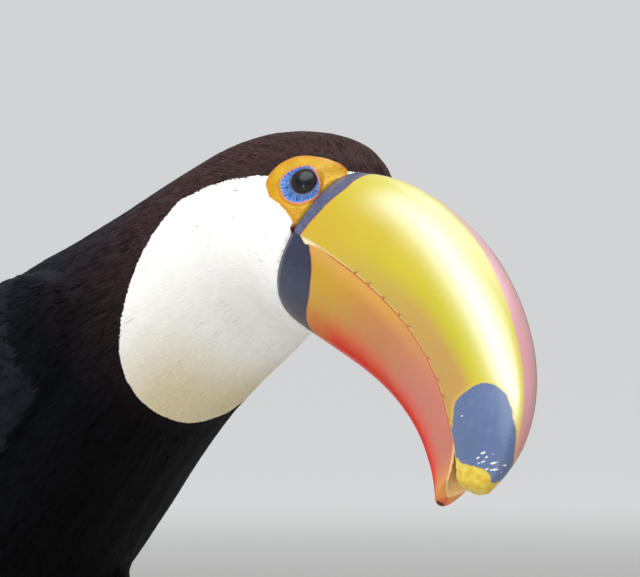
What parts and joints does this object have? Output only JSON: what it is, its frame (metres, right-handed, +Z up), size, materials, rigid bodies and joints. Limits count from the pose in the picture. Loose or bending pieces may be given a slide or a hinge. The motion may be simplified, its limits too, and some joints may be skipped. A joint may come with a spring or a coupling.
{
  "type": "toco toucan",
  "caption": "Still life-size toco toucan standing on both feet, head turned and tilted, with a deep curved bill, white bib and black body.",
  "frame": {"origin": "on the floor, under the middle of the whole figure's box", "axes": "+X ahead of the bird's body, +Y to its left, +Z up"},
  "size_m": [0.593, 0.1411, 0.2676],
  "materials": {
    "black_plumage": "soft overlapping feathers, blue-black with a faint brown cast, over a solid body",
    "white_plumage": "fine flat white to cream feathers",
    "upper_bill_horn": "smooth satin horn, yellow with a dark oval near the tip",
    "lower_bill_horn": "smooth satin horn, orange to red",
    "eye_gloss": "wet gloss",
    "leg_skin": "blue-grey scaled skin",
    "claw_horn": "dark worn horn"
  },
  "bodies": {
    "root": {"bill_lower": "lower_bill_horn", "bill_upper": "upper_bill_horn", "claw_left_inner_back": "claw_horn", "claw_left_inner_front": "claw_horn", "claw_left_outer_back": "claw_horn", "claw_left_outer_front": "claw_horn", "claw_right_inner_back": "claw_horn", "claw_right_inner_front": "claw_horn", "claw_right_outer_back": "claw_horn", "claw_right_outer_front": "claw_horn", "eye_left": "eye_gloss", "eye_right": "eye_gloss", "head": "black_plumage", "leg_left": "leg_skin", "leg_right": "leg_skin", "neck": "white_plumage", "tail": "black_plumage", "thigh_left": "black_plumage", "thigh_right": "black_plumage", "trunk": "black_plumage", "wing_left": "black_plumage", "wing_right": "black_plumage"}
  },
  "joints": []
}
